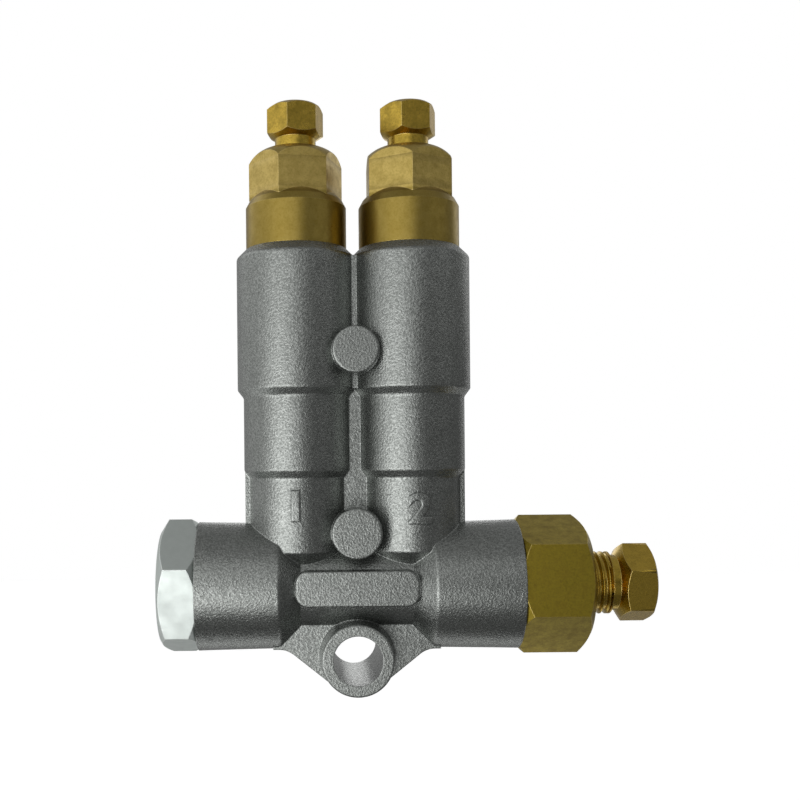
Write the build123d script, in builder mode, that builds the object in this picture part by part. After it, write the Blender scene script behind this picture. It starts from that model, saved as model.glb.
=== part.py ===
from build123d import *
import os
from math import sin, sqrt, radians

# Two-point piston lubrication distributor, in millimetres, +Z up.
# The origin is on the axis of the mounting eye, in the mounting face at the back.
# The front looks along -Y, the inlet is on the +X side, the outlets are on top.
# Every outline is drawn as radius and distance along its own axis.

# Play between pieces
slip = 0.05                     # radial play of what is screwed or pushed together
running_play = 0.05             # radial play of what slides
stop_play = 0.1                 # gap left where a moving piece stops

# Metering station: bore, piston, stem and spring
metering_bore = 9.0
piston_stroke = 7.0
piston_length = 6.0
piston_groove_width = 1.6
piston_groove_depth = 1.0
spring_room = 13.0              # kept for the return spring at full stroke
spring_wire = 0.8
spring_turns = 6
stem_diameter = 3.0
stem_bore = 1.8
stem_overrun = 2.5              # stem above the piston at full stroke
sleeve_wall = 1.45

# Collar valve, and the insert above it
floor_wall = 1.0                # metal between the gallery port and the chamber
inlet_port = 3.0
valve_height = 3.6
valve_travel = 0.8
valve_skirt = 2.2               # depth of the cup behind the sealing lip
valve_core = 4.0
valve_lip = 0.8
valve_lip_play = 0.15
chamber_ledge = 0.5             # ledge that the insert sits on
nozzle_height = 0.5
nozzle_diameter = 4.0
insert_flange = 2.5
insert_holes = 6
insert_hole = 1.2
insert_hole_circle = 6.8

# Outlet check valve
passage = 2.8
passage_length = 3.7
ball = 4.0
ball_play = 0.4
ball_rest_gap = 0.02
check_wire = 0.5
check_coil = 2.6                # mean diameter of the check spring
check_turns = 4
retainer_length = 2.0
retainer_hole = 2.0

# Metering nipple
nipple_thread_step = 0.95
nipple_thread_length = 10.4
thread_runout = 0.7
neck_relief = 0.15
nipple_gland_width = 1.2
nipple_gland_depth = 1.3
shank_land = 11.9               # from the spring shoulder up to the collar
collar_cover = 0.7
collar_height = 6.6
collar_chamfer = 0.6
collar_chamfer_height = 1.1
nipple_hex = 13.0
nipple_hex_height = 5.8
flat_runout = 1.0               # slope at the foot of the hexagon's flats
crown_height = 2.5
crown_flat = 7.4
crown_bulge = 0.45              # how far the crown arches out of a straight cone
nipple_turns = (10.0, 30.0)     # how far the two hexagons are turned, in degrees
seal_play = 0.05

# Outlet union for a 4 mm tube
outlet_tube = 4.1
outlet_thread = 8.0
outlet_thread_length = 7.0
outlet_neck = 6.5
outlet_neck_length = 1.7
outlet_hex = 8.0
outlet_head = 5.3
outlet_head_underside = 0.9
outlet_head_chamfer = 0.7
outlet_head_face = 7.2
outlet_turns = (15.0, 13.0)

# Inlet union for a 6 mm tube, backed off by a few turns
inlet_tube = 6.1
inlet_thread = 10.0
inlet_thread_length = 8.0
inlet_thread_shown = 4.0
inlet_neck = 8.8
inlet_neck_length = 1.1
inlet_hex = 11.0
inlet_head = 5.5
inlet_head_underside = 1.2
inlet_head_chamfer = 0.6
inlet_head_face = 10.2
inlet_turn = 8.0
inlet_screw_in = 2.5            # how far the union still screws in

# Taper sleeves that grip the tubes
sleeve_length = 5.0
sleeve_nose_length = 2.0
sleeve_nose_wall = 0.5
sleeve_body_wall = 1.15
sleeve_back_chamfer = 0.5

# Gallery and its two ports
gallery_bore = 8.5
gallery_wall = 2.75
port_thread = 13.9
port_depth = 10.5
spigot_length = 9.0
port_neck_step = 0.75
port_gland_width = 1.6
port_gland_depth = 1.75
boss_wall = 3.2
boss_taper = 0.25
boss_shoulder = 3.3
boss_inset = 3.0                # from a column's axis to the inner end of its boss
plug_reach = 15.85              # from a column's axis to the outer end of its boss
inlet_reach = 16.45

# Hexagons in the two ports
port_hex = 19.0
port_hex_inner_chamfer = 1.0
port_hex_inner_face = 19.8
port_hex_outer_chamfer = 1.3
port_hex_outer_face = 17.8
plug_hex_length = 5.85
plug_recess = 8.0
plug_recess_depth = 6.0
plug_turn = 11.0
adapter_hex_length = 10.75
adapter_passage = 4.4
adapter_turn = 8.5

# Cast columns
foot_height = 5.7
foot_taper = 3.4
foot_radius = 4.6
lower_wall = 1.75
lower_length = 11.4
middle_wall = 2.6
middle_length = 11.5
upper_wall = 2.6
step_height = 1.25
rim_chamfer = 1.5
collar_gap = 2.0                # between the collars of the two nipples
cast_round = 0.7

# Web, ribs and pads of the casting
upper_web = 8.4
lower_web = 5.8
rib_width = 3.0
rib_tuck = 0.2
back_relief = 0.1               # the port hexagons turn this far off the mounting face
upper_ejector = 7.2
upper_ejector_height = 36.7
upper_ejector_face = 9.0
lower_ejector = 7.8
lower_ejector_height = 8.6
front_face = 8.2                # of the eye, the name pad and the lower ejector pad
name_pad_width = 19.0
name_pad_height = 5.5
name_pad_corner = 1.9
name_pad_lift = 0.2
pad_edge = 0.3

# Mounting eye and the flange that carries it
eye_bore = 7.6
eye_ceiling = 2.75              # metal between the gallery and the eye
eye_wall = 1.75
eye_draft = 0.4
flange_half = 3.8
flange_angle = 38.6
flange_foot = 2.2
flange_overlap = 0.25
flange_fillet = 3.6

# Radius to a hexagon's corner, for each unit across its flats
corner_share = 1 / sqrt(3)

# Radii of a station, from the metering bore outwards
bore_radius = metering_bore / 2
stem_radius = stem_diameter / 2
sleeve_radius = bore_radius + sleeve_wall
column_bore_radius = sleeve_radius + slip
chamber_radius = column_bore_radius - chamber_ledge
nipple_thread_radius = sleeve_radius + nipple_thread_step
thread_bore_radius = nipple_thread_radius + slip
nipple_neck_radius = sleeve_radius + neck_relief
nipple_gland_radius = nipple_neck_radius + nipple_gland_width
collar_radius = nipple_gland_radius + collar_cover
lower_radius = column_bore_radius + lower_wall
middle_radius = column_bore_radius + middle_wall
upper_radius = thread_bore_radius + upper_wall

# Radii of the gallery, from its bore and its port threads outwards
gallery_radius = gallery_bore / 2 + gallery_wall
spigot_radius = port_thread / 2
port_radius = spigot_radius + slip
port_neck_radius = spigot_radius - port_neck_step
port_gland_radius = port_neck_radius + port_gland_width
boss_radius = port_radius + boss_wall

# Heights inside a station, above the gallery axis
chamber_floor = port_radius + floor_wall
valve_top = chamber_floor + valve_height
nozzle_face = valve_top + valve_travel + stop_play
insert_seat = nozzle_face + nozzle_height
insert_top = insert_seat + insert_flange
piston_top = insert_top + piston_length
stem_top = piston_top + piston_stroke + stem_overrun
spring_shoulder = piston_top + piston_stroke + spring_room
check_seat = spring_shoulder + passage_length
column_top = spring_shoulder + shank_land
thread_top = column_top - nipple_gland_depth
thread_foot = thread_top - nipple_thread_length
collar_top = column_top + collar_height
hex_foot = collar_top + collar_chamfer_height
crown_foot = hex_foot + nipple_hex_height
nipple_top = crown_foot + crown_height
outlet_screw_foot = nipple_top - outlet_thread_length
outlet_sleeve_foot = outlet_screw_foot - sleeve_length
retainer_top = outlet_sleeve_foot - stop_play
retainer_foot = retainer_top - retainer_length

# Heights of the column's outside, above the gallery axis
lower_top = foot_height + lower_length
middle_foot = lower_top + step_height
middle_top = middle_foot + middle_length
upper_foot = middle_top + step_height

# Places of the axes
column_pitch = 2 * collar_radius + collar_gap
column_places = (-column_pitch / 2, column_pitch / 2)
axis_y = -(port_hex * corner_share + back_relief)
gallery_z = gallery_bore / 2 + eye_ceiling + eye_bore / 2
boss_start = column_pitch / 2 + boss_inset
plug_start = column_pitch / 2 + plug_reach
adapter_start = column_pitch / 2 + inlet_reach

# Places along the gallery, from the middle of the part
plug_end = plug_start + plug_hex_length
adapter_end = adapter_start + adapter_hex_length
inlet_screw_start = adapter_end + inlet_thread_shown - inlet_thread_length
inlet_sleeve_start = inlet_screw_start - sleeve_length
inlet_seat_start = inlet_sleeve_start - inlet_screw_in - stop_play


def column_section(x):
    """Half-section of a column: local x is the radius, local y the height."""
    return Plane(origin=(x, axis_y, gallery_z), x_dir=(1, 0, 0), z_dir=(0, -1, 0))


def port_section(side):
    """Half-section of a port: local x is the radius, local y runs outwards."""
    return Plane(origin=(0, axis_y, gallery_z), x_dir=(0, 0, 1), z_dir=(0, side, 0))


def cross_plane(section, along):
    """Plane square to a section's axis, at this distance along it."""
    return Plane(
        origin=section.origin + section.y_dir * along,
        x_dir=section.x_dir,
        z_dir=section.y_dir,
    )


def turned(section, points, mode=Mode.ADD, rounds=(), radius=0):
    """Turn a closed outline round its section's axis, rounding some corners."""
    with BuildSketch(section) as outline:
        with BuildLine():
            Polyline(*points, close=True)
        make_face()
        for corner in rounds:
            fillet(outline.vertices().sort_by_distance(corner)[0], radius)
    revolve(outline.sketch, axis=Axis(section.origin, section.y_dir), mode=mode)


def ring(section, inner, outer, start, end, mode=Mode.ADD):
    """Turn a plain ring, or a disc where the inner radius is nought."""
    corners = [(inner, start), (outer, start), (outer, end), (inner, end)]
    turned(section, corners, mode)


def hexagon(section, start, end, across_flats, rotation):
    """Raise a hexagon whose first flat looks to the front before it is turned."""
    with BuildSketch(cross_plane(section, start)) as flats:
        RegularPolygon(across_flats / 2, 6, major_radius=False, rotation=rotation)
    extrude(flats.sketch, amount=end - start)


def trim_hexagon(section, start, end, across_flats, faces, chamfers):
    """Cut both ends of a hexagon down to round faces."""
    corner = across_flats * corner_share
    turned(
        section,
        [
            (0, start),
            (faces[0] / 2, start),
            (corner, start + chamfers[0]),
            (corner, end - chamfers[1]),
            (faces[1] / 2, end),
            (0, end),
        ],
        Mode.INTERSECT,
    )


def seal_ring(section, inner, outer, along):
    """Turn an O-ring that fills the gap between two radii."""
    wire = (outer - inner) / 2 - seal_play
    with BuildSketch(section) as wire_section:
        with Locations(((inner + outer) / 2, along)):
            Circle(wire)
    revolve(wire_section.sketch, axis=Axis(section.origin, section.y_dir))


def coil(section, foot, top, mean_radius, wire, turns):
    """Wind a spring whose wire lies between two heights."""
    start = cross_plane(section, foot + wire / 2)
    height = top - foot - wire
    with BuildLine(start) as path:
        Helix(pitch=height / turns, height=height, radius=mean_radius)
    with BuildSketch(Plane(origin=path.line @ 0, z_dir=path.line % 0)) as wire_section:
        Circle(wire / 2)
    sweep(wire_section.sketch, path=path.line, is_frenet=True)


def tube_sleeve(section, foot, tube):
    """Turn a tube sleeve: a cone at the nose and a chamfer at the back."""
    inner = tube / 2
    outer = inner + sleeve_body_wall
    back = foot + sleeve_length
    turned(
        section,
        [
            (inner, foot),
            (inner + sleeve_nose_wall, foot),
            (outer, foot + sleeve_nose_length),
            (outer, back - sleeve_back_chamfer),
            (outer - sleeve_back_chamfer, back),
            (inner, back),
        ],
    )


def sleeve_socket(section, foot, top, tube):
    """Cut the coned bore that a tube sleeve sits in."""
    nose = tube / 2 + sleeve_nose_wall + slip
    outer = tube / 2 + sleeve_body_wall + slip
    turned(
        section,
        [
            (0, foot),
            (nose, foot),
            (outer, foot + sleeve_nose_length),
            (outer, top),
            (0, top),
        ],
        Mode.SUBTRACT,
    )


def union_screw(section, start, thread, thread_length, neck, neck_length, head, tube):
    """Make a hollow union screw: hexagon head, neck, plain-turned thread, tube bore."""
    across_flats, length, underside, chamfer_length, face, rotation = head
    neck_start = start + thread_length
    head_start = neck_start + neck_length
    head_end = head_start + length
    hexagon(section, head_start, head_end, across_flats, rotation)
    trim_hexagon(
        section,
        head_start,
        head_end,
        across_flats,
        (neck, face),
        (underside, chamfer_length),
    )
    ring(section, 0, thread / 2 - slip, start, neck_start)
    ring(section, 0, neck / 2, neck_start, head_start)
    ring(section, 0, tube / 2, start, head_end, Mode.SUBTRACT)


os.makedirs("parts", exist_ok=True)


# Cast body with its two columns, gallery, pads and mounting eye
with BuildPart() as manifold_body:
    for place in column_places:
        turned(
            column_section(place),
            [
                (0, foot_height - foot_taper),
                (foot_radius, foot_height - foot_taper),
                (lower_radius, foot_height),
                (lower_radius, lower_top),
                (middle_radius, middle_foot),
                (middle_radius, middle_top),
                (upper_radius, upper_foot),
                (upper_radius, column_top - rim_chamfer),
                (upper_radius - rim_chamfer, column_top),
                (0, column_top),
            ],
            rounds=[
                (lower_radius, foot_height),
                (lower_radius, lower_top),
                (middle_radius, middle_foot),
                (middle_radius, middle_top),
                (upper_radius, upper_foot),
                (upper_radius, column_top - rim_chamfer),
            ],
            radius=cast_round,
        )
    for side, boss_end in ((-1, plug_start), (1, adapter_start)):
        turned(
            port_section(side),
            [
                (0, 0),
                (gallery_radius, 0),
                (gallery_radius, boss_start - boss_shoulder),
                (boss_radius - boss_taper, boss_start),
                (boss_radius, boss_end),
                (0, boss_end),
            ],
            rounds=[(boss_radius - boss_taper, boss_start)],
            radius=cast_round,
        )

    # Web between the columns, thicker beside the upper sections
    web_top = column_top - rim_chamfer
    for width, foot, top in (
        (lower_web, 0, upper_foot),
        (upper_web, upper_foot, web_top),
    ):
        with BuildSketch(Plane.XY.offset(gallery_z + foot)):
            with Locations((0, axis_y)):
                Rectangle(column_pitch, width)
        extrude(amount=top - foot)

    # Ribs along the outer sides of the lower sections
    rib_reach = column_pitch / 2 + middle_radius - rib_tuck
    with BuildSketch(Plane.XY.offset(gallery_z)):
        with Locations((0, axis_y)):
            Rectangle(2 * rib_reach, rib_width)
    extrude(amount=middle_foot + cast_round)

    # Flange under the gallery, tangent to the eye and rounded into the bosses
    front = Plane(origin=(0, axis_y, 0), x_dir=(1, 0, 0), z_dir=(0, -1, 0))
    eye_radius = eye_bore / 2 + eye_wall
    flange_radius = eye_radius + eye_draft
    flange_top = gallery_z - boss_radius + boss_taper + flange_overlap
    with BuildSketch(front) as flange:
        with BuildLine():
            lower_arc = CenterArc(
                (0, 0), flange_radius, 270 - flange_angle, 2 * flange_angle
            )
            rise = flange_top - (lower_arc @ 1).Y
            flank = PolarLine(lower_arc @ 1, rise / sin(radians(flange_angle)), flange_angle)
            knee = (flank @ 1).X
            Polyline(
                (knee, flange_top),
                (knee + flange_foot, flange_top),
                (knee + flange_foot, gallery_z),
                (-knee - flange_foot, gallery_z),
                (-knee - flange_foot, flange_top),
                (-knee, flange_top),
                lower_arc @ 0,
            )
        make_face()
        for corner in ((knee, flange_top), (-knee, flange_top)):
            fillet(flange.vertices().sort_by_distance(corner)[0], flange_fillet)
    extrude(amount=flange_half, both=True)
    turned(
        Plane(origin=(0, axis_y, 0), x_dir=(1, 0, 0), z_dir=(0, 0, 1)),
        [
            (0, -axis_y),
            (eye_radius, -axis_y),
            (flange_radius, flange_half),
            (flange_radius, -flange_half),
            (eye_radius, -front_face),
            (0, -front_face),
        ],
    )

    # Two ejector pads and the bare name pad
    for diameter, height, face in (
        (upper_ejector, upper_ejector_height, upper_ejector_face),
        (lower_ejector, lower_ejector_height, front_face),
    ):
        with BuildSketch(front):
            with Locations((0, gallery_z + height)):
                Circle(diameter / 2)
        extrude(amount=face)
    with BuildSketch(front):
        with Locations((0, gallery_z + name_pad_lift)):
            RectangleRounded(name_pad_width, name_pad_height, name_pad_corner)
    extrude(amount=front_face)
    pad_faces = manifold_body.faces().filter_by(Axis.Y).group_by(Axis.Y)
    fillet((pad_faces[0] + pad_faces[1]).edges(), pad_edge)

    # Gallery bore, its threaded ports and their seal glands
    for side, boss_end in ((-1, plug_start), (1, adapter_start)):
        port = port_section(side)
        ring(port, 0, gallery_bore / 2, 0, boss_end, Mode.SUBTRACT)
        ring(port, 0, port_radius, boss_end - port_depth, boss_end, Mode.SUBTRACT)
        gland_foot = boss_end - port_gland_depth
        ring(port, 0, port_gland_radius, gland_foot, boss_end, Mode.SUBTRACT)

    # Inlet port, valve chamber, nipple bore, thread and seal gland of each column
    for place in column_places:
        bore = column_section(place)
        ring(bore, 0, inlet_port / 2, 0, chamber_floor, Mode.SUBTRACT)
        ring(bore, 0, chamber_radius, chamber_floor, insert_seat, Mode.SUBTRACT)
        ring(bore, 0, column_bore_radius, insert_seat, column_top, Mode.SUBTRACT)
        thread_end = thread_foot - thread_runout
        ring(bore, 0, thread_bore_radius, thread_end, column_top, Mode.SUBTRACT)
        ring(bore, 0, nipple_gland_radius, thread_top, column_top, Mode.SUBTRACT)

    # Screw hole of the eye
    with BuildSketch(front):
        Circle(eye_bore / 2)
    extrude(amount=2 * boss_radius, both=True, mode=Mode.SUBTRACT)
manifold_body.part.label = "manifold_body"
export_step(manifold_body.part, "parts/manifold_body.step")


# Plug that closes the left port, with a recess in its spigot
left = port_section(-1)
plug_foot = plug_start - spigot_length
plug_neck_start = plug_start - port_gland_depth
with BuildPart() as gallery_plug:
    hexagon(left, plug_start, plug_end, port_hex, -plug_turn)
    trim_hexagon(
        left,
        plug_start,
        plug_end,
        port_hex,
        (port_hex_inner_face, port_hex_outer_face),
        (port_hex_inner_chamfer, port_hex_outer_chamfer),
    )
    ring(left, 0, spigot_radius, plug_foot, plug_neck_start)
    ring(left, 0, port_neck_radius, plug_neck_start, plug_start)
    recess_end = plug_foot + plug_recess_depth
    ring(left, 0, plug_recess / 2, plug_foot, recess_end, Mode.SUBTRACT)
gallery_plug.part.label = "gallery_plug"
export_step(gallery_plug.part, "parts/gallery_plug.step")

with BuildPart() as gallery_plug_seal:
    seal_middle = plug_start - port_gland_depth / 2
    seal_ring(left, port_neck_radius, port_gland_radius, seal_middle)
gallery_plug_seal.part.label = "gallery_plug_seal"
export_step(gallery_plug_seal.part, "parts/gallery_plug_seal.step")


# Adapter in the right port, bored for the inlet union
right = port_section(1)
adapter_foot = adapter_start - spigot_length
adapter_neck_start = adapter_start - port_gland_depth
with BuildPart() as inlet_adapter:
    hexagon(right, adapter_start, adapter_end, port_hex, -adapter_turn)
    trim_hexagon(
        right,
        adapter_start,
        adapter_end,
        port_hex,
        (port_hex_inner_face, port_hex_outer_face),
        (port_hex_inner_chamfer, port_hex_outer_chamfer),
    )
    ring(right, 0, spigot_radius, adapter_foot, adapter_neck_start)
    ring(right, 0, port_neck_radius, adapter_neck_start, adapter_start)
    ring(right, 0, adapter_passage / 2, adapter_foot, adapter_end, Mode.SUBTRACT)
    sleeve_socket(right, inlet_seat_start, adapter_end, inlet_tube)
    thread_start = inlet_screw_start - inlet_screw_in - stop_play
    ring(right, 0, inlet_thread / 2, thread_start, adapter_end, Mode.SUBTRACT)
inlet_adapter.part.label = "inlet_adapter"
export_step(inlet_adapter.part, "parts/inlet_adapter.step")

with BuildPart() as inlet_adapter_seal:
    seal_middle = adapter_start - port_gland_depth / 2
    seal_ring(right, port_neck_radius, port_gland_radius, seal_middle)
inlet_adapter_seal.part.label = "inlet_adapter_seal"
export_step(inlet_adapter_seal.part, "parts/inlet_adapter_seal.step")

with BuildPart() as inlet_taper_sleeve:
    tube_sleeve(right, inlet_sleeve_start, inlet_tube)
inlet_taper_sleeve.part.label = "inlet_taper_sleeve"
export_step(inlet_taper_sleeve.part, "parts/inlet_taper_sleeve.step")

with BuildPart() as inlet_union_screw:
    union_screw(
        right,
        inlet_screw_start,
        inlet_thread,
        inlet_thread_length,
        inlet_neck,
        inlet_neck_length,
        (
            inlet_hex,
            inlet_head,
            inlet_head_underside,
            inlet_head_chamfer,
            inlet_head_face,
            inlet_turn,
        ),
        inlet_tube,
    )
inlet_union_screw.part.label = "inlet_union_screw"
export_step(inlet_union_screw.part, "parts/inlet_union_screw.step")


# The two metering stations, 1 on the left and 2 on the right
for station, place in enumerate(column_places, start=1):
    upright = column_section(place)

    # Rubber cup that opens the stem or the inlet port, never both
    with BuildPart() as collar_valve:
        lip_radius = chamber_radius - valve_lip_play
        ring(upright, 0, lip_radius, chamber_floor, valve_top)
        ring(
            upright,
            valve_core / 2,
            lip_radius - valve_lip,
            valve_top - valve_skirt,
            valve_top,
            Mode.SUBTRACT,
        )
    collar_valve.part.label = f"collar_valve_{station}"
    export_step(collar_valve.part, f"parts/collar_valve_{station}.step")

    # Insert with a nozzle below, a ring of feed holes and the stem above
    with BuildPart() as valve_insert:
        ring(upright, 0, sleeve_radius, insert_seat, insert_top)
        ring(upright, 0, nozzle_diameter / 2, nozzle_face, insert_seat)
        ring(upright, 0, stem_radius, insert_top, stem_top)
        ring(upright, 0, stem_bore / 2, nozzle_face, stem_top, Mode.SUBTRACT)
        with BuildSketch(cross_plane(upright, insert_seat)):
            with PolarLocations(insert_hole_circle / 2, insert_holes):
                Circle(insert_hole / 2)
        extrude(amount=insert_flange, mode=Mode.SUBTRACT)
    valve_insert.part.label = f"valve_insert_{station}"
    export_step(valve_insert.part, f"parts/valve_insert_{station}.step")

    # Ring piston on the stem, with a groove for its seal
    piston_radius = bore_radius - running_play
    groove_radius = piston_radius - piston_groove_depth
    groove_middle = insert_top + piston_length / 2
    with BuildPart() as metering_piston:
        ring(upright, stem_radius + running_play, piston_radius, insert_top, piston_top)
        ring(
            upright,
            groove_radius,
            bore_radius,
            groove_middle - piston_groove_width / 2,
            groove_middle + piston_groove_width / 2,
            Mode.SUBTRACT,
        )
    metering_piston.part.label = f"metering_piston_{station}"
    export_step(metering_piston.part, f"parts/metering_piston_{station}.step")

    with BuildPart() as piston_seal:
        seal_ring(upright, groove_radius, piston_radius, groove_middle)
    piston_seal.part.label = f"piston_seal_{station}"
    export_step(piston_seal.part, f"parts/piston_seal_{station}.step")

    # Return spring round the stem, from the piston to the nipple's shoulder
    with BuildPart() as return_spring:
        coil(
            upright,
            piston_top + stop_play,
            spring_shoulder - stop_play,
            (stem_radius + bore_radius) / 2,
            spring_wire,
            spring_turns,
        )
    return_spring.part.label = f"return_spring_{station}"
    export_step(return_spring.part, f"parts/return_spring_{station}.step")

    # Ball on its seat, with its spring and the retainer above
    ball_radius = ball / 2
    ball_centre = check_seat + sqrt(ball_radius**2 - (passage / 2) ** 2) + ball_rest_gap
    with BuildPart() as check_ball:
        with Locations((place, axis_y, gallery_z + ball_centre)):
            Sphere(ball_radius)
    check_ball.part.label = f"check_ball_{station}"
    export_step(check_ball.part, f"parts/check_ball_{station}.step")

    wire_reach = ball_radius + check_wire / 2
    coil_foot = ball_centre + sqrt(wire_reach**2 - (check_coil / 2) ** 2) - check_wire / 2
    with BuildPart() as check_spring:
        coil(
            upright,
            coil_foot + stop_play,
            retainer_foot - stop_play,
            check_coil / 2,
            check_wire,
            check_turns,
        )
    check_spring.part.label = f"check_spring_{station}"
    export_step(check_spring.part, f"parts/check_spring_{station}.step")

    check_bore_radius = ball_radius + ball_play
    with BuildPart() as check_retainer:
        ring(
            upright,
            retainer_hole / 2,
            check_bore_radius - slip,
            retainer_foot,
            retainer_top,
        )
    check_retainer.part.label = f"check_retainer_{station}"
    export_step(check_retainer.part, f"parts/check_retainer_{station}.step")

    # Metering nipple: hexagon with a domed crown, collar, thread and long sleeve
    with BuildPart() as metering_nipple:
        hexagon(upright, hex_foot, nipple_top, nipple_hex, nipple_turns[station - 1])
        hex_corner = nipple_hex * corner_share
        crown_middle = (
            (hex_corner + crown_flat / 2) / 2 + crown_bulge,
            (crown_foot + nipple_top) / 2 + crown_bulge,
        )
        with BuildSketch(upright) as crown:
            with BuildLine():
                ThreePointArc(
                    (hex_corner, crown_foot), crown_middle, (crown_flat / 2, nipple_top)
                )
                Polyline(
                    (crown_flat / 2, nipple_top),
                    (0, nipple_top),
                    (0, hex_foot),
                    (hex_corner, hex_foot),
                    (hex_corner, crown_foot),
                )
            make_face()
        revolve(
            crown.sketch,
            axis=Axis(upright.origin, upright.y_dir),
            mode=Mode.INTERSECT,
        )
        turned(
            upright,
            [
                (0, insert_top),
                (sleeve_radius, insert_top),
                (sleeve_radius, thread_foot),
                (nipple_thread_radius, thread_foot),
                (nipple_thread_radius, thread_top),
                (nipple_neck_radius, thread_top),
                (nipple_neck_radius, column_top),
                (collar_radius, column_top),
                (collar_radius, collar_top),
                (collar_radius - collar_chamfer, hex_foot),
                (nipple_hex / 2 - slip, hex_foot + flat_runout),
                (0, hex_foot + flat_runout),
            ],
        )
        ring(upright, 0, bore_radius, insert_top, spring_shoulder, Mode.SUBTRACT)
        ring(upright, 0, passage / 2, spring_shoulder, check_seat, Mode.SUBTRACT)
        ring(upright, 0, check_bore_radius, check_seat, retainer_top, Mode.SUBTRACT)
        sleeve_socket(upright, outlet_sleeve_foot - stop_play, nipple_top, outlet_tube)
        ring(
            upright,
            0,
            outlet_thread / 2,
            outlet_screw_foot - stop_play,
            nipple_top,
            Mode.SUBTRACT,
        )
    metering_nipple.part.label = f"metering_nipple_{station}"
    export_step(metering_nipple.part, f"parts/metering_nipple_{station}.step")

    with BuildPart() as nipple_seal:
        seal_middle = column_top - nipple_gland_depth / 2
        seal_ring(upright, nipple_neck_radius, nipple_gland_radius, seal_middle)
    nipple_seal.part.label = f"nipple_seal_{station}"
    export_step(nipple_seal.part, f"parts/nipple_seal_{station}.step")

    with BuildPart() as outlet_taper_sleeve:
        tube_sleeve(upright, outlet_sleeve_foot, outlet_tube)
    outlet_taper_sleeve.part.label = f"outlet_taper_sleeve_{station}"
    export_step(outlet_taper_sleeve.part, f"parts/outlet_taper_sleeve_{station}.step")

    with BuildPart() as outlet_union_screw:
        union_screw(
            upright,
            outlet_screw_foot,
            outlet_thread,
            outlet_thread_length,
            outlet_neck,
            outlet_neck_length,
            (
                outlet_hex,
                outlet_head,
                outlet_head_underside,
                outlet_head_chamfer,
                outlet_head_face,
                outlet_turns[station - 1],
            ),
            outlet_tube,
        )
    outlet_union_screw.part.label = f"outlet_union_screw_{station}"
    export_step(outlet_union_screw.part, f"parts/outlet_union_screw_{station}.step")
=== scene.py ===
from math import cos, pi, radians, sin

import bmesh
import bpy
from mathutils import Matrix, Vector


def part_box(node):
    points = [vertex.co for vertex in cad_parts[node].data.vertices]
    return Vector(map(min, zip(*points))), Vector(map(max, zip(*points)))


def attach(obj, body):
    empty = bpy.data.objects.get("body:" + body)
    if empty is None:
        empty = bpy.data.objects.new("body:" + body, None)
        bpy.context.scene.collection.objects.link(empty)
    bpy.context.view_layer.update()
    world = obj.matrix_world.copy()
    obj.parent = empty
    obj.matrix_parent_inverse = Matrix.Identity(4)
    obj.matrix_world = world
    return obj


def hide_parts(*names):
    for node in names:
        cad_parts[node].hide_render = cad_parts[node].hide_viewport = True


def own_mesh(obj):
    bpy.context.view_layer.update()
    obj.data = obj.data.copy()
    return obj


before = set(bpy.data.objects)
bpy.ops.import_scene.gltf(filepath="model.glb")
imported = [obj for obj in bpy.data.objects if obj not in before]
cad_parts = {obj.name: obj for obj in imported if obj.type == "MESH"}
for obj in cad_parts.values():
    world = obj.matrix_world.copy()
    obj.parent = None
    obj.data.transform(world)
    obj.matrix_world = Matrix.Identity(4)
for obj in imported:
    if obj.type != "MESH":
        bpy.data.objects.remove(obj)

bl_info = {
    "name": "Lubrication distributor looks",
    "version": (1, 0, 0),
    "blender": (4, 5, 0),
    "location": "3D View > Sidebar > Distributor",
    "description": "Finishes, numerals, thread, springs and stage of a piston lubrication distributor",
    "category": "Object",
}

# All lengths are in metres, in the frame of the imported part
STATIONS = (1, 2)
MM = 0.001

# Points nearer to each other than this are made one
WELD = 1e-7

# Points nearer to a cutting plane than this lie on it
CUT_REACH = 1e-8

# How far the pieces move that push the springs
PISTON_STROKE = 7 * MM
BALL_LIFT = 1.5 * MM

# Depth of the lines that a turning tool leaves
MARK_DEPTH = 0.003 * MM

# The paper floor, and the height at which cards and lamps aim
FLOOR_WIDTH = 3.0
FLOOR_GREY = 0.85
AIM_HEIGHT = 35 * MM

# Glowing cards that the metal mirrors, round the part: azimuth and elevation in
# degrees, distance, width and height in metres, and glow
CARDS = (
    ("left_card", -95, -8, 0.32, 0.60, 0.42, 0.62),
    ("upper_left_card", -95, 36, 0.32, 0.60, 0.22, 1.0),
    ("back_card", -170, 5, 0.32, 0.60, 0.60, 0.36),
    ("right_card", 95, -12, 0.32, 0.70, 0.36, 0.18),
    ("right_front_card", 38, -10, 0.34, 0.30, 0.32, 0.12),
    ("front_right_card", 12, 2, 0.40, 0.16, 0.24, 0.15),
    ("upper_right_card", 68, 38, 0.34, 0.70, 0.22, 0.30),
    ("front_card", -7, 24, 0.26, 0.11, 0.13, 1.0),
    ("top_card", 0, 90, 0.30, 0.60, 0.60, 0.34),
    ("low_card", 10, -75, 0.12, 0.26, 0.13, 0.12),
    ("low_right_card", 50, -40, 0.18, 0.26, 0.20, 0.20),
    ("low_back_card", 180, -55, 0.22, 0.40, 0.20, 0.24),
)
# Round lamps: azimuth and elevation in degrees, distance and diameter in metres,
# and radiance
LAMPS = (
    ("key_lamp", -36, -22, 0.26, 0.29, 1.85),
    ("back_lamp", 178, 10, 0.28, 0.14, 1.1),
)


def middle(node):
    """Middle of a node's box."""
    low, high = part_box(node)
    return (low + high) / 2


def station_axis(station):
    """Place of a station's upright axis, at height nought."""
    centre = middle(f"outlet_taper_sleeve_{station}")
    return Vector((centre.x, centre.y, 0))


def gallery_axis():
    """Place of the gallery's axis, at the middle of the part."""
    centre = middle("inlet_taper_sleeve")
    return Vector((0, centre.y, centre.z))


# Settings that a user would change


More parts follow.
